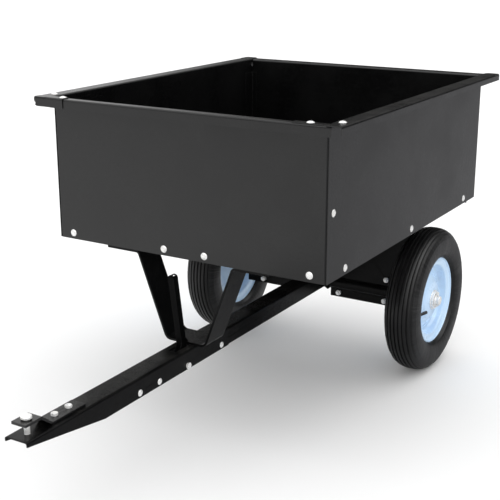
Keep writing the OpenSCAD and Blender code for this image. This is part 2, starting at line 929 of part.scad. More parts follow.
tray_floor();
front_panel();
side_panel_left();
side_panel_right();
tailgate();
tailgate_guides();
panel_bolts();
panel_nuts();
rim_bolts();
rim_nuts();
brace();
brace_bolts();
brace_nuts();
bracket_left_front();
bracket_left_rear();
bracket_right_front();
bracket_right_rear();
bracket_bolts();
bracket_nuts();
bracket_floor_bolts();
bracket_floor_nuts();
axle();
axle_collars();
axle_washers();
cotter_pins();
tyre_left();
rim_outer_left();
rim_inner_left();
hub_left();
bearings_left();
valve_left();
tyre_right();
rim_outer_right();
rim_inner_right();
hub_right();
bearings_right();
valve_right();
tongue_front();
tongue_rear();
tongue_bolts();
tongue_nuts();
hitch_strap();
hitch_bolts();
hitch_nuts();
hitch_pin();
latch_lever();
latch_pivot();
latch_pivot_nut();
latch_spring();
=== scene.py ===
import json
import math

import bmesh
import bpy
from mathutils import Matrix, Vector, noise

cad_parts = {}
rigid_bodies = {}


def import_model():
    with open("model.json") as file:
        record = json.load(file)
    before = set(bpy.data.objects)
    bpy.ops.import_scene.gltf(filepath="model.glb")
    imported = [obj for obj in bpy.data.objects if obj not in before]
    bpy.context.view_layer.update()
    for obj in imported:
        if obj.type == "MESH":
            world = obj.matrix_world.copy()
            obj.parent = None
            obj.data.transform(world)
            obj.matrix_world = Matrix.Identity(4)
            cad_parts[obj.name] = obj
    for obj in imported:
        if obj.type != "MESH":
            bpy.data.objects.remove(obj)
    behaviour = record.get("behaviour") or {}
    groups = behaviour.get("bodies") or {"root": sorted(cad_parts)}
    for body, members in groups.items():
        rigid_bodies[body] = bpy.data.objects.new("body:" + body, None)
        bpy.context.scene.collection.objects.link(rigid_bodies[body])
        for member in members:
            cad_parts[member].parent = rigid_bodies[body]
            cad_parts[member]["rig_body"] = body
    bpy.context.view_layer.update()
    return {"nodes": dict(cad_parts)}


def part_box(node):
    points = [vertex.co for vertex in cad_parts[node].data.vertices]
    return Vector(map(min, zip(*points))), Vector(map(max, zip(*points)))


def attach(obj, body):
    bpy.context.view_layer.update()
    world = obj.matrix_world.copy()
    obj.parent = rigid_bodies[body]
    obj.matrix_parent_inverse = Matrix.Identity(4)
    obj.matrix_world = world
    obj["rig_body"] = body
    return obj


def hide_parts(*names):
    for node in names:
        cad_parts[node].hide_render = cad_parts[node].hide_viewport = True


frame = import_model()
nodes = frame["nodes"]
MM = 0.001

# The right wheel's centre, in metres to 0.1 mm
tyre_low, tyre_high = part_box("tyre_right")
WHEEL_X, AXLE_Y, AXLE_Z = (round(c, 4) for c in (tyre_low + tyre_high) / 2)


# ---- Node materials ----

class Nodes:
    """A node tree and the few kinds of node the finishes and the sky need."""

    def __init__(self, tree, coordinates):
        self.tree = tree
        self.place = self.add("ShaderNodeTexCoord").outputs[coordinates]

    def put(self, socket, value):
        if isinstance(value, bpy.types.NodeSocket):
            self.tree.links.new(value, socket)
        else:
            socket.default_value = value

    def add(self, kind, settings=None, inputs=None):
        made = self.tree.nodes.new(kind)
        for key, value in (settings or {}).items():
            setattr(made, key, value)
        for key, value in (inputs or {}).items():
            self.put(made.inputs[key], value)
        return made

    def noise(self, scale, detail=3.0, stretch=(1, 1, 1), place=None):
        mapped = self.add("ShaderNodeMapping", inputs={"Vector": place or self.place, "Scale": stretch})
        return self.add("ShaderNodeTexNoise",
                        inputs={"Vector": mapped.outputs[0], "Scale": scale, "Detail": detail}).outputs[0]

    def span(self, value, low, high, start=0.35, end=0.65):
        """value moved from start..end to low..high, held at the ends."""
        return self.add("ShaderNodeMapRange", inputs={"Value": value, "From Min": start, "From Max": end,
                                                      "To Min": low, "To Max": high}).outputs[0]

    def maths(self, operation, a, b=0.0):
        return self.add("ShaderNodeMath", {"operation": operation}, {0: a, 1: b}).outputs[0]

    def vector(self, operation, a, b=(0, 0, 0)):
        made = self.add("ShaderNodeVectorMath", {"operation": operation}, {0: a, 1: b})
        return made.outputs["Value" if operation in ("DOT_PRODUCT", "LENGTH") else "Vector"]

    def mix(self, amount, a, b):
        a, b = (c if isinstance(c, bpy.types.NodeSocket) else (*c, 1) for c in (a, b))
        return self.add("ShaderNodeMix", {"data_type": "RGBA"}, {0: amount, 6: a, 7: b}).outputs[2]


class Shader(Nodes):
    """A material with one Principled shader."""

    def __init__(self, name):
        self.material = bpy.data.materials.new(name)
        self.material.use_nodes = True
        super().__init__(self.material.node_tree, "Object")
        self.bsdf = self.tree.nodes["Principled BSDF"]

    def set(self, **values):
        for key, value in values.items():
            self.put(self.bsdf.inputs[key.replace("_", " ")], value)

    def bump(self, *layers):
        """layers of (height, distance in metres), the coarsest first."""
        normal = None
        for height, distance in layers:
            made = self.add("ShaderNodeBump",
                            inputs={"Height": height, "Distance": distance, "Strength": 1.0})
            if normal:
                self.put(made.inputs["Normal"], normal)
            normal = made.outputs[0]
        self.put(self.bsdf.inputs["Normal"], normal)

    def edge(self, radius):
        """0 on flat faces and up to 1 along the edges."""
        bevel = self.add("ShaderNodeBevel", {"samples": 3}, {"Radius": radius}).outputs[0]
        flat = self.add("ShaderNodeNewGeometry").outputs["Normal"]
        return self.span(self.vector("DOT_PRODUCT", bevel, flat), 1.0, 0.0, 0.86, 0.995)

    def upward(self):
        """1 on faces that look up, 0 on walls."""
        geometry = self.add("ShaderNodeNewGeometry")
        return self.span(self.vector("DOT_PRODUCT", geometry.outputs["Normal"], (0, 0, 1)), 0, 1, 0.6, 0.95)


def powder_coat(name, dark, light, rough, shine):
    """Satin powder coat: orange peel, cloudy sheen, rubbed edges, a few fine scuffs and a little dust."""
    s = Shader(name)
    cloud = s.noise(7, 4)
    grain = s.noise(1500, 2)
    peel = s.noise(330, 3)
    scuff = s.span(s.noise(38, 7, (1, 1, 14)), 0, 1, 0.66, 0.74)
    rub = s.maths("MULTIPLY", s.edge(0.0012), s.span(s.noise(60, 4), 0.05, 0.75, 0.4, 0.65))
    dust = s.maths("MULTIPLY", s.upward(), s.span(s.noise(22, 6), 0.0, 0.10))
    base = s.mix(s.span(cloud, 0, 1), dark, light)
    base = s.mix(s.span(grain, 0, 0.35), base, [c * 1.9 for c in light])
    base = s.mix(dust, base, (0.14, 0.135, 0.125))
    base = s.mix(s.maths("MULTIPLY", rub, 0.35), base, (0.060, 0.060, 0.062))
    base = s.mix(s.maths("MULTIPLY", scuff, 0.08), base, (0.10, 0.10, 0.103))
    sheen = s.maths("ADD", s.span(cloud, rough - 0.04, rough + 0.05), s.span(grain, -0.03, 0.03))
    sheen = s.maths("SUBTRACT", sheen, s.maths("MULTIPLY", rub, 0.10))
    sheen = s.maths("ADD", sheen, s.maths("MULTIPLY", scuff, 0.10))
    s.set(Base_Color=base, Roughness=sheen, Specular_IOR_Level=shine)
    s.bump((peel, 0.00010), (grain, 0.00004))
    return s.material


def zinc_plate(name):
    """Bright zinc plating: faint spangle, a yellow cast in places, hairline scratches."""
    s = Shader(name)
    cell = s.add("ShaderNodeTexVoronoi", inputs={"Vector": s.place, "Scale": 420}).outputs["Color"]
    spangle = s.add("ShaderNodeSeparateColor", inputs={0: cell}).outputs[0]
    cloud = s.noise(55, 4)
    hair = s.noise(260, 5, (1, 9, 1))
    base = s.mix(s.span(cloud, 0, 1), (0.93, 0.935, 0.94), (0.86, 0.85, 0.82))
    base = s.mix(s.span(spangle, 0, 0.15, 0, 1), base, (0.72, 0.73, 0.75))
    base = s.mix(s.span(s.edge(0.0006), 0, 0.3, 0, 1), base, (0.93, 0.93, 0.94))
    sheen = s.maths("ADD", s.span(cloud, 0.24, 0.36), s.span(hair, -0.06, 0.06))
    s.set(Base_Color=base, Metallic=0.4, Roughness=sheen)
    s.bump((hair, 0.00003), (s.noise(1600, 2), 0.00002))
    return s.material


def wheel_paint(name):
    """Gloss paint on the pressed rims, its edges paler as a painted highlight, with patches of painted shade
    darkening the valley.
    """
    s = Shader(name)
    cloud = s.noise(12, 4)
    peel = s.noise(240, 2)
    from_axle = s.vector("LENGTH", s.vector("MULTIPLY", s.vector("SUBTRACT", s.place, (0, AXLE_Y, AXLE_Z)),
                                            (0, 1, 1)))
    # The valley's ring, where painted shade is laid in patches
    valley = s.maths("MULTIPLY", s.span(from_axle, 0, 1, 0.070, 0.088), s.span(from_axle, 1, 0, 0.098, 0.106))
    valley_shade = s.maths("MULTIPLY", valley, s.span(s.noise(45, 6), 0.0, 0.35, 0.45, 0.75))
    base = s.mix(s.span(cloud, 0, 1), (0.50, 0.68, 0.90), (0.56, 0.74, 0.93))
    # Painted highlight: the edges are mixed towards a pale cyan white
    base = s.mix(s.maths("MULTIPLY", s.edge(0.0012), 0.45), base, (0.78, 0.88, 0.95))
    # Painted shade: the valley's ring is mixed towards a dark blue grey
    base = s.mix(s.maths("MULTIPLY", valley_shade, 0.5), base, (0.26, 0.28, 0.32))
    s.set(Base_Color=base, Roughness=s.span(cloud, 0.24, 0.33), Coat_Weight=0.6, Coat_Roughness=0.09)
    s.bump((peel, 0.00007), (s.noise(1300, 2), 0.00002))
    return s.material


def tyre_rubber(name):
    """Rubber with radial moulding streaks on the sidewalls, bumped, and lighter in colour as a painted sheen;
    fine pores and dust held in the tread's grooves.
    """
    s = Shader(name)
    arm = s.vector("MULTIPLY", s.vector("SUBTRACT", s.place, (0, AXLE_Y, AXLE_Z)), (0, 1, 1))
    radius = s.vector("LENGTH", arm)
    around = s.vector("NORMALIZE", arm)
    # Radial streaks: real relief through the bump, and a painted sheen through the colour
    marks_and_sheen = s.noise(40, 5, place=around)
    middle = s.maths("SUBTRACT", s.noise(11, 2, place=around), 0.5)
    crease = s.span(s.maths("ABSOLUTE", middle), 1, 0, 0.0, 0.006)
    wall = s.maths("MULTIPLY", s.span(radius, 0, 1, 0.126, 0.135), s.span(radius, 1, 0, 0.188, 0.195))
    cloud = s.noise(16, 5)
    pores = s.noise(900, 3)
    low = s.span(radius, 1, 0, 0.2005, 0.2025)
    tread = s.span(radius, 0, 1, 0.1975, 0.199)
    dust = s.maths("MULTIPLY", s.maths("MULTIPLY", low, tread), s.span(cloud, 0.1, 0.5))
    base = s.mix(s.span(cloud, 0, 1), (0.0030, 0.0030, 0.0032), (0.0055, 0.0055, 0.0058))
    # Painted sheen: the sidewall's streaks are mixed towards a lighter grey
    base = s.mix(s.maths("MULTIPLY", wall, s.span(marks_and_sheen, 0, 0.60, 0.46, 0.66)), base, (0.034, 0.034, 0.035))
    base = s.mix(s.maths("MULTIPLY", dust, 0.22), base, (0.035, 0.033, 0.030))
    rough = s.maths("ADD", s.span(cloud, 0.34, 0.46), s.span(pores, -0.05, 0.05))
    s.set(Base_Color=base, Roughness=rough, Specular_IOR_Level=0.40)
    s.bump((s.maths("MULTIPLY", wall, marks_and_sheen), 0.0014), (s.maths("MULTIPLY", wall, crease), 0.0005),
           (pores, 0.00006))
    return s.material


def soft_rubber(name):
    """Dull rubber with fine pores."""
    s = Shader(name)
    cloud = s.noise(120, 4)
    base = s.mix(s.span(cloud, 0, 1), (0.008, 0.008, 0.009), (0.020, 0.020, 0.021))
    s.set(Base_Color=base, Roughness=s.span(cloud, 0.38, 0.52))
    s.bump((s.noise(900, 3), 0.00004))
    return s.material


PAINT = powder_coat("panel coat", (0.0009, 0.0009, 0.0010), (0.0017, 0.0017, 0.0018), 0.29, 0.48)
FRAME = powder_coat("frame coat", (0.0012, 0.0012, 0.0013), (0.0022, 0.0022, 0.0023), 0.27, 0.13)
# A lighter, glossier copy of the frame coat for the hitch strap, as a painted highlight
LIT_FRAME_COAT = powder_coat("frame coat lit copy", (0.0014, 0.0014, 0.0015), (0.0026, 0.0026, 0.0027), 0.25, 0.42)
# A darker, duller copy of the frame coat for the latch lever, as painted shade
SHADED_FRAME_COAT = powder_coat("frame coat shaded copy", (0.0012, 0.0012, 0.0013), (0.0020, 0.0020, 0.0021), 0.36, 0.04)
ZINC = zinc_plate("zinc plate")
RIM = wheel_paint("rim paint")
TYRE = tyre_rubber("tyre rubber")
VALVE = soft_rubber("valve rubber")


# ---- Mesh building: a shape is (vertices, faces), in millimetres ----

def joined(shapes):
    verts, faces = [], []
    for v, f in shapes:
        base = len(verts)
        verts += [Vector(p) for p in v]
        faces += [[k + base for k in face] for face in f]
    return verts, faces


def moved(shape, matrix):
    flip = matrix.determinant() < 0
    return [matrix @ Vector(p) for p in shape[0]], [f[::-1] if flip else f for f in shape[1]]


def turn_outwards(shell):
    """Reverses each closed surface whose volume comes out negative."""
    waiting = set(shell.faces)
    while waiting:
        island, front = [], [waiting.pop()]
        while front:
            face = front.pop()
            island.append(face)
            near = {f for edge in face.edges for f in edge.link_faces} & waiting
            waiting -= near
            front += near
        volume = 0.0
        for face in island:
            first, *rest = [v.co for v in face.verts]
            volume += sum(first.dot(a.cross(b)) for a, b in zip(rest, rest[1:]))
        if volume < 0:
            bmesh.ops.reverse_faces(shell, faces=island)


def make_solid(mesh):
    """Fills open ends, such as a bolt's under its head, and turns every face outwards."""
    shell = bmesh.new()
    shell.from_mesh(mesh)
    bmesh.ops.holes_fill(shell, edges=shell.edges[:])
    bmesh.ops.recalc_face_normals(shell, faces=shell.faces[:])
    turn_outwards(shell)
    shell.to_mesh(mesh)
    shell.free()


def piece(name, shape, material, node, sharp=32):
    """One visible object made from a shape in millimetres, riding with the CAD node it stands for."""
    mesh = bpy.data.meshes.new(name)
    mesh.from_pydata([p * MM for p in shape[0]], [], shape[1])
    mesh.validate()
    make_solid(mesh)
    mesh.polygons.foreach_set("use_smooth", [True] * len(mesh.polygons))
    mesh.set_sharp_from_angle(angle=math.radians(sharp))
    mesh.materials.append(material)
    made = bpy.data.objects.new(name, mesh)
    bpy.context.scene.collection.objects.link(made)
    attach(made, nodes[node]["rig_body"])
    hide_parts(node)


def eased(points, radii, steps=5, closed=False):
    """A path with its corners rounded. radii is one number, or one per corner."""
    n = len(points)
    out = []
    for i, p in enumerate(points):
        r = radii if isinstance(radii, (int, float)) else radii[i]
        p = Vector(p)
        if (not closed and i in (0, n - 1)) or r <= 0:
            out.append(p)
            continue
        a, b = Vector(points[i - 1]) - p, Vector(points[(i + 1) % n]) - p
        half = a.angle(b) / 2
        if half > math.pi / 2 - 0.02:
            out.append(p)
            continue
        reach = min(r / math.tan(half), 0.46 * a.length, 0.46 * b.length)
        start, end = p + a.normalized() * reach, p + b.normalized() * reach
        for k in range(steps + 1):
            t = k / steps
            out.append(start * (1 - t) ** 2 + p * 2 * t * (1 - t) + end * t ** 2)
    return out


def lathe(profile, count, closed=False, wave=None):
    """Turns (radius, height) points about Z. wave(angle, index) may change a point's radius."""
    rows, verts, faces = len(profile), [], []
    for k in range(count):
        a = 2 * math.pi * k / count
        for i, (r, h) in enumerate(profile):
            r += wave(a, i) if wave else 0
            verts.append(Vector((r * math.cos(a), r * math.sin(a), h)))
    for k in range(count):
        for i in range(rows if closed else rows - 1):
            j, m = (i + 1) % rows, (k + 1) % count
            faces.append([k * rows + i, m * rows + i, m * rows + j, k * rows + j])
    return clean(verts, faces)


def clean(verts, faces):
    """Merges points that fall together, such as those on the axis, and drops what collapses."""
    seen, index = {}, []
    kept = []
    for p in verts:
        key = (round(p.x, 4), round(p.y, 4), round(p.z, 4))
        if key not in seen:
            seen[key] = len(kept)
            kept.append(p)
        index.append(seen[key])
    out = []
    for face in faces:
        corners = []
        for k in face:
            if index[k] not in corners:
                corners.append(index[k])
        if len(corners) > 2:
            out.append(corners)
    return kept, out


def sheet_section(path, thickness):
    """A closed section around an open path of (radius, height) points."""
    left, right = [], []
    for i, p in enumerate(path):
        a, b = path[max(i - 1, 0)], path[min(i + 1, len(path) - 1)]
        d = (b - a).normalized() * thickness / 2
        left.append(Vector((p.x - d.y, p.y + d.x)))
        right.append(Vector((p.x + d.y, p.y - d.x)))
    return left + right[::-1]


def tube(points, radius):
    """A round wire along a smooth path, closed at its ends."""
    count = 14
    verts, faces = [], []
    up = Vector((0.3, 0.5, 0.81))
    for i, p in enumerate(points):
        d = (points[min(i + 1, len(points) - 1)] - points[max(i - 1, 0)]).normalized()
        up = (up - d * up.dot(d)).normalized()
        side = d.cross(up)
        for k in range(count):
            a = 2 * math.pi * k / count
            verts.append(p + radius * (math.cos(a) * up + math.sin(a) * side))
    for i in range(len(points) - 1):
        for k in range(count):
            m = (k + 1) % count
            faces.append([i * count + k, (i + 1) * count + k, (i + 1) * count + m, i * count + m])
    faces += [list(range(count)), [len(verts) - count + k for k in range(count)][::-1]]
    return verts, faces


# ---- Fasteners, with local +Z out of the head and the seat at z = 0 ----

def hexagon(r, h0, h1, low_cut=True, bore=0.0):
    """A hexagon between two heights, its top corners turned down to a circle, its lower ones if low_cut."""
    count, flat = 96, r * math.cos(math.radians(30))
    cut_r, slope = flat * 0.97, math.tan(math.radians(30))
    lead_in, lead_deep, dish = 0.9, 0.8, 0.25
    verts, faces = [], []
    for k in range(count):
        a = 360 * k / count
        reach = flat / math.cos(math.radians(a % 60 - 30))
        drop = max(0.0, reach - cut_r) * slope
        low = h0 + (drop if low_cut else 0)
        outline = [(cut_r, h0), (reach, low), (reach, h1 - drop), (cut_r, h1)]
        if bore:
            outline = ([(bore, h0 + lead_deep), (bore + lead_in, h0)] + outline
                       + [(bore + lead_in, h1), (bore, h1 - lead_deep)])
        else:
            outline = [(0, h0)] + outline + [(cut_r * 0.9, h1), (cut_r * 0.82, h1 - dish), (0, h1 - dish)]
        for q, h in outline:
            verts.append(Vector((q * math.cos(math.radians(a)), q * math.sin(math.radians(a)), h)))
    rows = len(outline)
    for k in range(count):
        m = (k + 1) % count
        for i in range(rows if bore else rows - 1):
            j = (i + 1) % rows
            faces.append([k * rows + i, m * rows + i, m * rows + j, k * rows + j])
    return clean(verts, faces)


def thread(r, top, tip):
    """A screw thread from height top down to tip, with a pointed run-out."""
    pitch, depth = 1.6, 0.55
    point_long, point_deep = 1.6, 0.9
    count, rows_a_turn = 20, 4
    rows = max(2, int((top - tip) / pitch * rows_a_turn))
    verts, faces = [], []
    for i in range(rows + 1):
        z = top + (tip - top) * i / rows
        fade = min(1.0, (z - tip) / point_long)
        for k in range(count):
            turn = ((top - z) / pitch + k / count) % 1.0
            q = r - depth * abs(2 * turn - 1) - (1 - fade) * point_deep
            a = 2 * math.pi * k / count
            verts.append(Vector((q * math.cos(a), q * math.sin(a), z)))
    for i in range(rows):
        for k in range(count):
            m = (k + 1) % count
            faces.append([i * count + k, (i + 1) * count + k, (i + 1) * count + m, i * count + m])
    faces.append([rows * count + k for k in range(count)][::-1])
    return verts, faces


def shank(r, neck, length):
    """A plain neck below the seat, then a thread."""
    return [lathe([(r, -neck), (r, 0)], 20), thread(r, -neck, -length)]


def carriage(head_r, head_h, shank_r, length):
    """Domed head on a thin land, a plain neck and a thread."""
    land = 0.7
    ball = (head_r ** 2 + (head_h - land) ** 2) / (2 * (head_h - land))
    dome = []
    for k in range(13):
        x = (head_r - 0.35) * k / 12
        dome.append((x, head_h - ball + math.sqrt(ball ** 2 - x ** 2)))
    edge = [(head_r - 0.08, land + 0.12), (head_r, land - 0.1), (head_r, 0.25), (head_r - 0.3, 0)]
    head = lathe([(shank_r, 0)] + (dome + edge)[::-1], 48)
    return joined([head] + shank(shank_r, 4.5, length))


def hex_head(head_r, head_h, shank_r, length, washer=0.0):
    """Hexagon head on a washer face, a plain neck and a thread."""
    face_r = washer or head_r * 0.86
    face_h = 1.4 if washer else 0.4
    seat = lathe([(shank_r, 0), (face_r - 0.3, 0), (face_r, 0.3), (face_r, face_h - 0.2),
                  (face_r - 0.2, face_h), (0, face_h)], 48)
    head = hexagon(head_r, face_h - 0.05, head_h, not washer)
    return joined([seat, head] + shank(shank_r, 5, length))


def solids(node):
    """The corner points, in millimetres, of each separate solid of a CAD node."""
    mesh = nodes[node].data
    points = [tuple(round(c / MM, 3) for c in v.co) for v in mesh.vertices]
    index = {p: k for k, p in enumerate(dict.fromkeys(points))}
    root = list(range(len(index)))

    def find(k):
        while root[k] != k:
            root[k] = root[root[k]]
            k = root[k]
        return k

    for polygon in mesh.polygons:
        first = find(index[points[polygon.vertices[0]]])
        for v in polygon.vertices:
            root[find(index[points[v]])] = first
    groups = {}
    for p, k in index.items():
        groups.setdefault(find(k), []).append(Vector(p))
    return list(groups.values())


def span_of(points):
    low = Vector([min(p[i] for p in points) for i in range(3)])
    high = Vector([max(p[i] for p in points) for i in range(3)])
    return low, high


def facing(origin, axis, spin=0.0):
    """A matrix that sets local +Z along axis at origin."""
    return (Matrix.Translation(origin) @ Vector(axis).to_track_quat("Z", "Y").to_matrix().to_4x4()
            @ Matrix.Rotation(math.radians(spin), 4, "Z"))


def bolt_frames(node):
    """For each bolt of a CAD node: its seat, its head's radius and height, its shank's radius and length."""
    for points in solids(node):
        low, high = span_of(points)
        size, middle = high - low, (low + high) / 2
        i = max(range(3), key=lambda k: size[k])
        along = Vector([1 if k == i else 0 for k in range(3)])
        across = [((p - middle) - along * (p - middle)[i]).length for p in points]
        head_r = max(across)
        wide = [p[i] for p, r in zip(points, across) if r > 0.985 * head_r]
        sign = 1 if sum(wide) / len(wide) > middle[i] else -1
        top = high[i] if sign > 0 else low[i]
        seat = min(wide) if sign > 0 else max(wide)
        tip = low[i] if sign > 0 else high[i]
        shank_r = max(r for p, r in zip(points, across) if abs(p[i] - tip) < 0.01)
        origin = Vector([seat if k == i else middle[k] for k in range(3)])
        yield facing(origin, along * sign), head_r, abs(top - seat), shank_r, abs(seat - tip)


def bolts(node, make, **more):
    """The bolts of a CAD node, made by make(); no two stand at the same angle."""
    shapes = []
    for n, (matrix, head_r, head_h, shank_r, length) in enumerate(bolt_frames(node)):
        turn = Matrix.Rotation(math.radians(37 * n), 4, "Z")
        shapes.append(moved(make(head_r, head_h, shank_r, length, **more), matrix @ turn))
    piece(node + "_made", joined(shapes), ZINC, node)


def nuts(node):
    """The nuts of a CAD node, as hexagons with a chamfered bore."""
    shapes = []
    for n, points in enumerate(solids(node)):
        low, high = span_of(points)
        size, middle = high - low, (low + high) / 2
        i = min(range(3), key=lambda k: size[k])
        axis = Vector([1 if k == i else 0 for k in range(3)])
        across = [((p - middle) - axis * (p - middle)[i]).length for p in points]
        half = size[i] / 2
        made = hexagon(max(across), -half, half, bore=min(across))
        shapes.append(moved(made, facing(middle, axis, 23 * n)))
    piece(node + "_made", joined(shapes), ZINC, node)


for name in ("panel_bolts", "rim_bolts", "brace_bolts", "bracket_floor_bolts", "tongue_bolts"):
    bolts(name, carriage)
bolts("bracket_bolts", hex_head)
bolts("hitch_bolts", hex_head, washer=7.6)
bolts("latch_pivot", hex_head)
for name in ("panel_nuts", "rim_nuts", "brace_nuts", "bracket_nuts", "bracket_floor_nuts", "tongue_nuts",
             "hitch_nuts", "latch_pivot_nut"):
    nuts(name)


# ---- Wheels: profiles are (radius, distance outwards from the wheel's middle plane) ----

GROOVES = (-37, -28, -17, -5.75, 5.75, 17, 28, 37)
GROOVE_DEEP = 4
# The tyre's section swells from its widest circle by this much up and down, and this much to each side
WIDEST_R, SWELL, HALF_WIDE = 160, 46, 48
HUB_BORE, HUB_R, HUB_IN, HUB_OUT = 13.9, 25, -58, 34
AXLE_R = 12.7


def on_wheel(side):
    """Takes a shape turned about Z to its wheel, local +Z outwards."""
    centre = Matrix.Translation((WHEEL_X / MM, AXLE_Y / MM, AXLE_Z / MM))
    place = centre @ Matrix.Rotation(math.pi / 2, 4, "Y")
    return Matrix.Scale(-1, 4, (1, 0, 0)) @ place if side == "left" else place


def tread_height(x):
    """Radius of the tyre's crown at a distance x from its middle, grooves cut in."""
    crown = WIDEST_R + SWELL * (1 - abs(x / HALF_WIDE) ** 2.5) ** 0.4
    half_mouth, slope = 2.3, 0.9
    off = min(abs(x - g) for g in GROOVES)
    deep = GROOVE_DEEP * max(0.0, min(1.0, (half_mouth - off) / slope))
    outermost = abs(x) > 34
    return crown - deep * (0.75 if outermost else 1)


def bulge(swell, half_wide, power, degrees):
    """A point of a section between round and square: 0 degrees is its outermost place, 90 its crown."""
    c, s = math.cos(math.radians(degrees)), math.sin(math.radians(degrees))
    return WIDEST_R + swell * math.copysign(abs(s) ** power, s), half_wide * math.copysign(abs(c) ** power, c)


def tyre_profile():
    """Up one wall with its raised rings, over the grooved crown, down the other wall and back inside."""
    shoulder_x = 40.2
    raised = ((131, 1.5, 0.8), (134.5, 0.8, 0.4), (177, 1.2, 0.6))
    wall = []
    for k in range(80):
        r, x = bulge(SWELL, HALF_WIDE, 0.8, -47 + 1.6 * k)
        if x < shoulder_x and r > WIDEST_R:
            break
        for raised_r, width, rise in raised:
            x += rise * math.exp(-((r - raised_r) / width) ** 2)
        wall.append(Vector((r, x)))
    steps = []
    for n, g in enumerate(GROOVES[::-1]):
        steps += [g + off for off in (2.5, 2.25, 1.9, 1.5, 1.2, 0, -1.2, -1.5, -1.9, -2.25, -2.5)]
        if n < len(GROOVES) - 1:
            after = GROOVES[::-1][n + 1]
            steps += [g + (after - g) * t for t in (0.36, 0.5, 0.64)]
    crown = [Vector((tread_height(x), x)) for x in steps]
    bead = eased([(104.7, 15), (103.4, 17.0), (103.4, 20.5), (105.5, 23), (112.5, 24), (120, 26.5),
                  (123.6, 33.5)], 2.5)
    near = bead + wall
    far = [Vector((p.x, -p.y)) for p in near[::-1]]
    inside = [Vector(bulge(SWELL - 9, HALF_WIDE - 7, 0.83, 245 - 310 * k / 30)) for k in range(31)]
    return near + crown + far + inside


def rim_profile():
    """The pressed disc from the hub out to the tyre's seat and flange, as a bent sheet."""
    thickness = 2.5
    disc = [(25.5, 25), (49, 21.6), (64, 13.4), (69, 10.4), (71.5, 7.6), (83, 1.25), (94.5, 1.25)]
    flange = [(99.3, 11), (101.5, 25), (112.5, 26), (119.5, 29), (121.6, 33)]
    bends = [0, 26, 14, 3, 4, 10, 6, 20, 4.5, 8, 3, 0]
    return sheet_section(eased(disc + flange, bends, 7), thickness)


def ripple(a, i):
    """The uneven swell of a weld bead."""
    return 0.55 * noise.noise(Vector((math.cos(a) * 5, math.sin(a) * 5, i * 0.15))) + 0.25 * math.sin(a * 58)


def ring(r0, r1, h0, h1, edge):
    """A turned ring with eased edges."""
    return lathe(eased([(r0, h0), (r1, h0), (r1, h1), (r0, h1)], edge, 3, True), 72, True)


def tyre(side, wheel):
    """The tyre with the short rubber nubs left by its mould's vents."""
    count, nub_r, nub_x = 14, 183, 43.4
    nubs = []
    for k in range(count):
        a = math.radians(360 * k / count + 9)
        for out in (1, -1):
            spot = Vector((nub_r * math.cos(a), nub_r * math.sin(a), nub_x * out))
            nubs.append(moved(lathe([(0.85, -1.0), (0.75, 1.5), (0.4, 2.4), (0, 2.6)], 8),
                              facing(spot, (math.cos(a) * 0.55, math.sin(a) * 0.55, 0.83 * out))))
    shape = joined([lathe(tyre_profile(), 224, True)] + nubs)
    piece("tyre_made_" + side, moved(shape, wheel), TYRE, "tyre_" + side, sharp=40)


def rim(side, wheel):
    """The two pressed halves, back to back."""
    half = lathe(rim_profile(), 160, True)
    piece("rim_outer_made_" + side, moved(half, wheel), RIM, "rim_outer_" + side, sharp=50)
    inner = moved(half, Matrix.Scale(-1, 4, (0, 0, 1)))
    piece("rim_inner_made_" + side, moved(inner, wheel), RIM, "rim_inner_" + side, sharp=50)


def hub(side, wheel):
    """The hub's barrel, welded to the rim on both sides, and the bearings in its ends."""
    section = [(HUB_BORE, HUB_IN), (HUB_R, HUB_IN), (HUB_R, HUB_OUT), (HUB_BORE, HUB_OUT)]
    barrel = lathe(eased(section, 1.2, 4, True), 72, True)
    weld_r, weld_x = HUB_R + 0.6, 26.8
    around = [2 * math.pi * k / 10 for k in range(10)]
    welds = [lathe([(weld_r + 2.4 * math.cos(a), x + 2.2 * math.sin(a)) for a in around], 150, True, ripple)
             for x in (weld_x, -weld_x)]
    piece("hub_made_" + side, moved(joined([barrel] + welds), wheel), ZINC, "hub_" + side)
    race_in, race_out, length, proud = 12.8, 16.4, 18, 0.4
    races = [ring(race_in, race_out, HUB_OUT - length, HUB_OUT + proud, 0.6),
             ring(race_in, race_out, HUB_IN - proud, HUB_IN + length, 0.6)]
    piece("bearings_made_" + side, moved(joined(races), wheel), ZINC, "bearings_" + side)


def valve(side, wheel):
    """The rubber stem through the rim's valley, with a knurled cap."""
    around, lean = math.radians(285), math.radians(-58)
    place = (wheel @ Matrix.Rotation(around, 4, "Z") @ Matrix.Translation((99.6, 0, 12))
             @ Matrix.Rotation(lean, 4, "Y"))
    stem = lathe(eased([(0, -7), (4.9, -7), (4.9, 6), (7.5, 7.6), (7.5, 9.6), (5.3, 11.8), (4.5, 17),
                        (4.0, 27.6), (0, 27.6)], 0.8), 40)
    cap = lathe(eased([(3.4, 27.4), (4.5, 27.4), (4.5, 38.2), (3.4, 40), (0, 40)], 0.7), 80,
                wave=lambda a, i: 0.22 * math.cos(20 * a) if 3 < i < 14 else 0)
    piece("valve_made_" + side, moved(joined([stem, cap]), place), VALVE, "valve_" + side)


for side in ("left", "right"):
    wheel = on_wheel(side)
    tyre(side, wheel)
    rim(side, wheel)
    hub(side, wheel)
    valve(side, wheel)


# ---- Axle, its washers, collars and cotter pins ----

def along_axle(shape):
    """Lays a shape turned about Z along the axle."""
    middle = Matrix.Translation((0, AXLE_Y / MM, AXLE_Z / MM))
    return moved(shape, middle @ Matrix.Rotation(math.pi / 2, 4, "Y"))


HUB_FACE = WHEEL_X / MM + HUB_OUT
AXLE_END = HUB_FACE + 13


def axle():
    """The plain bar through both wheels."""
    bar = eased([(0, -AXLE_END), (AXLE_R, -AXLE_END), (AXLE_R, AXLE_END), (0, AXLE_END)], [0, 1.6, 1.6, 0])
    piece("axle_made", along_axle(lathe(bar, 64)), ZINC, "axle")


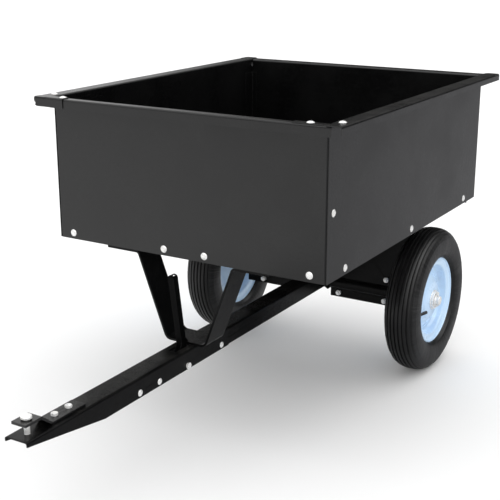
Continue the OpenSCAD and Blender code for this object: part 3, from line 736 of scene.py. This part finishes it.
def axle_rings(node, near, far, edge):
    """A ring on each side of the cart, between two distances from its middle."""
    rings = [ring(AXLE_R + 0.2, 19, *sorted((sign * near, sign * far)), edge) for sign in (-1, 1)]
    piece(node + "_made", along_axle(joined(rings)), ZINC, node)


def cotter():
    """A split pin of doubled wire: the eye above the axle, the legs spread and curled below. Z is up."""
    eye_r, eye_z, half_gap = 4.3, 19.6, 0.95
    eye = [(0, eye_r * math.sin(math.radians(a)), eye_z - eye_r * math.cos(math.radians(a)))
           for a in range(20, 341, 12)]
    near = [(0, half_gap, 14.6), (0, half_gap, 0), (0, half_gap, -13.6), (0, 2.6, -16.2), (0.4, 6.4, -17.4),
            (0.8, 9.2, -15.4), (1.0, 9.9, -12.2)]
    far = [(x, -y, z) for x, y, z in near]
    return tube(eased(far[::-1] + eye[::-1] + near, 2.0, 4), 1.05)


def cotter_pins():
    """A pin near each end of the axle."""
    pins = []
    for sign, turn in ((-1, math.pi), (1, 0.0)):
        place = Matrix.Translation((sign * (AXLE_END - 6.5), AXLE_Y / MM, AXLE_Z / MM))
        pins.append(moved(cotter(), place @ Matrix.Rotation(turn, 4, "Z")))
    piece("cotter_pins_made", joined(pins), ZINC, "cotter_pins", sharp=60)


axle()
axle_rings("axle_washers", HUB_FACE + 1, HUB_FACE + 3.5, 0.6)
axle_rings("axle_collars", 263.1, 268.4, 1.0)
cotter_pins()


# ---- Hitch pin and latch spring ----

def hitch_pin():
    """A pointed pin with two grooves round its shank, a collar and a thick round head."""
    shank_r, collar_r, head_r = 6.35, 8.2, 12
    low, high = (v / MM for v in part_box("hitch_pin"))
    tongue_top, jaw_top = 249.5, high.z - 8.7
    outline = [(0, low.z), (3.6, low.z), (shank_r, low.z + 2.8)]
    for g in (tongue_top, jaw_top - 8.0):
        outline += [(shank_r, g), (shank_r - 0.8, g + 0.4), (shank_r - 0.8, g + 1.6), (shank_r, g + 2)]
    outline += [(shank_r, jaw_top + 0.2), (collar_r, jaw_top + 0.2), (collar_r, jaw_top + 2.4),
                (head_r - 0.6, jaw_top + 2.5), (head_r, jaw_top + 3.0), (head_r, jaw_top + 7.2),
                (head_r - 1.4, high.z - 0.2), (0, high.z)]
    place = Matrix.Translation(((low.x + high.x) / 2, (low.y + high.y) / 2, 0))
    piece("hitch_pin_made", moved(lathe(eased(outline, 0.45, 3), 72), place), ZINC, "hitch_pin")


def latch_spring():
    """Four coils round the latch's pivot, with one leg down and one leg up behind it."""
    low, high = (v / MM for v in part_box("latch_spring"))
    centre = (low + high) / 2
    turns, a_turn, coil_r, wire = 4, 24, 9, 1.3
    left, right = low.x + wire, high.x - wire
    coil = []
    for k in range(turns * a_turn + 1):
        a = 2 * math.pi * k / a_turn
        x = left + (right - left) * k / (turns * a_turn)
        coil.append(Vector((x, centre.y + coil_r * math.cos(a), centre.z + coil_r * math.sin(a))))
    down = [Vector((left, centre.y + 9.6, centre.z - 12)), Vector((left, centre.y + 9.3, centre.z - 3))]
    up = [Vector((right, centre.y + 9.2, centre.z + 5)), Vector((right, centre.y + 9.2, centre.z + 24))]
    piece("latch_spring_made", tube(down + coil + up, wire), ZINC, "latch_spring", sharp=60)


hitch_pin()
latch_spring()


# ---- Sheet metal stays as the CAD's own nodes, with eased edges ----

def keep(name, material, width):
    """Gives a CAD node its material and eases its edges by width, in metres."""
    node = nodes[name]
    node.data.materials.clear()
    node.data.materials.append(material)
    weld = node.modifiers.new("weld", "WELD")
    weld.merge_threshold = 0.00002
    bevel = node.modifiers.new("eased edges", "BEVEL")
    bevel.width = width
    bevel.segments = 2
    bevel.limit_method = "ANGLE"
    bevel.angle_limit = math.radians(50)


for name in ("tray_floor", "front_panel", "side_panel_left", "side_panel_right", "tailgate",
             "tailgate_guides"):
    keep(name, PAINT, 0.0005)
for name in ("bracket_left_front", "bracket_left_rear", "bracket_right_front", "bracket_right_rear",
             "tongue_front", "tongue_rear"):
    keep(name, FRAME, 0.0006)
keep("brace", FRAME, 0.0009)
keep("hitch_strap", LIT_FRAME_COAT, 0.0009)
keep("latch_lever", SHADED_FRAME_COAT, 0.0006)


# ---- Stage, light and camera ----

def backdrop():
    """A pale floor; in reflections its right-hand side is darker, a painted shade."""
    pale = (0.88, 0.88, 0.88)
    reach = 60
    mesh = bpy.data.meshes.new("floor")
    mesh.from_pydata([(-reach, -reach, 0), (reach, -reach, 0), (reach, reach, 0), (-reach, reach, 0)], [],
                     [[0, 1, 2, 3]])
    floor = bpy.data.objects.new("floor", mesh)
    bpy.context.scene.collection.objects.link(floor)
    s = Shader("studio floor")
    across = s.vector("DOT_PRODUCT", s.place, (1, 0, 0))
    # Painted shade: in reflections the floor's right-hand side is darkened towards grey
    reflected_painted_shade = s.mix(s.span(across, 0, 1, -0.5, 0.5), pale, (0.36, 0.36, 0.37))
    glossy = s.add("ShaderNodeLightPath").outputs["Is Glossy Ray"]
    s.set(Base_Color=s.mix(glossy, pale, reflected_painted_shade), Roughness=s.span(s.noise(3, 4), 0.75, 0.9),
          Specular_IOR_Level=0.05)
    s.bump((s.noise(240, 3), 0.00005))
    mesh.materials.append(s.material)


def towards(azimuth, elevation):
    """The unit vector to a place in the sky; azimuth 0 is +Y and 90 is -X."""
    a, e = math.radians(azimuth), math.radians(elevation)
    return Vector((-math.sin(a) * math.cos(e), math.cos(a) * math.cos(e), math.sin(e)))


# Soft boxes in the sky: azimuth, elevation and half-width in degrees, and brightness
SOFT_BOXES = ((60, 14, 30, 1.1), (212, 42, 50, 1.6), (130, 30, 34, 0.7), (-72, 52, 34, 1.5))


def studio_sky():
    """A bright dome to light the cart, soft boxes to reflect in it, and plain white behind it."""
    world = bpy.data.worlds.new("studio")
    world.use_nodes = True
    s = Nodes(world.node_tree, "Generated")
    path = s.add("ShaderNodeLightPath").outputs
    height = s.vector("DOT_PRODUCT", s.place, (0, 0, 1))
    dome = s.span(height, 1.20, 1.35, 0.0, 0.6)
    boxes = s.span(height, 0.02, 1.0, 0.35, 0.80)
    for azimuth, elevation, wide, power in SOFT_BOXES:
        off = s.vector("DOT_PRODUCT", s.place, towards(azimuth, elevation))
        box = s.span(off, 0, power, math.cos(math.radians(wide)), math.cos(math.radians(wide * 0.55)))
        boxes = s.maths("ADD", boxes, box)
    glow = s.mix(path["Is Glossy Ray"], dome, boxes)
    glow = s.mix(path["Is Camera Ray"], glow, (1.05, 1.05, 1.05))
    s.put(world.node_tree.nodes["Background"].inputs["Color"], glow)
    bpy.context.scene.world = world


def place_in_scene(name, data, place, rotation):
    made = bpy.data.objects.new(name, data)
    bpy.context.scene.collection.objects.link(made)
    made.location = place
    made.rotation_euler = rotation
    return made


def top_light():
    """A large soft lamp over the cart."""
    place, target = Vector((0.4, 0.6, 4.2)), Vector((0, 0.2, 0.0))
    data = bpy.data.lights.new("top", "AREA")
    data.size = 3.5
    data.energy = 25
    place_in_scene("top", data, place, (target - place).to_track_quat("-Z", "Y").to_euler())


def front_camera():
    """A long lens in front of the cart, to its right, looking a little down."""
    turn, tilt = 31.11, 16.78
    data = bpy.data.cameras.new("camera")
    data.lens = 75.28
    data.sensor_width = 36
    rotation = (math.radians(90 - tilt), 0, math.radians(turn))
    bpy.context.scene.camera = place_in_scene("camera", data, (1.3643, -2.1520, 1.2061), rotation)


backdrop()
studio_sky()
top_light()
front_camera()
bpy.context.scene.view_settings.view_transform = "Standard"
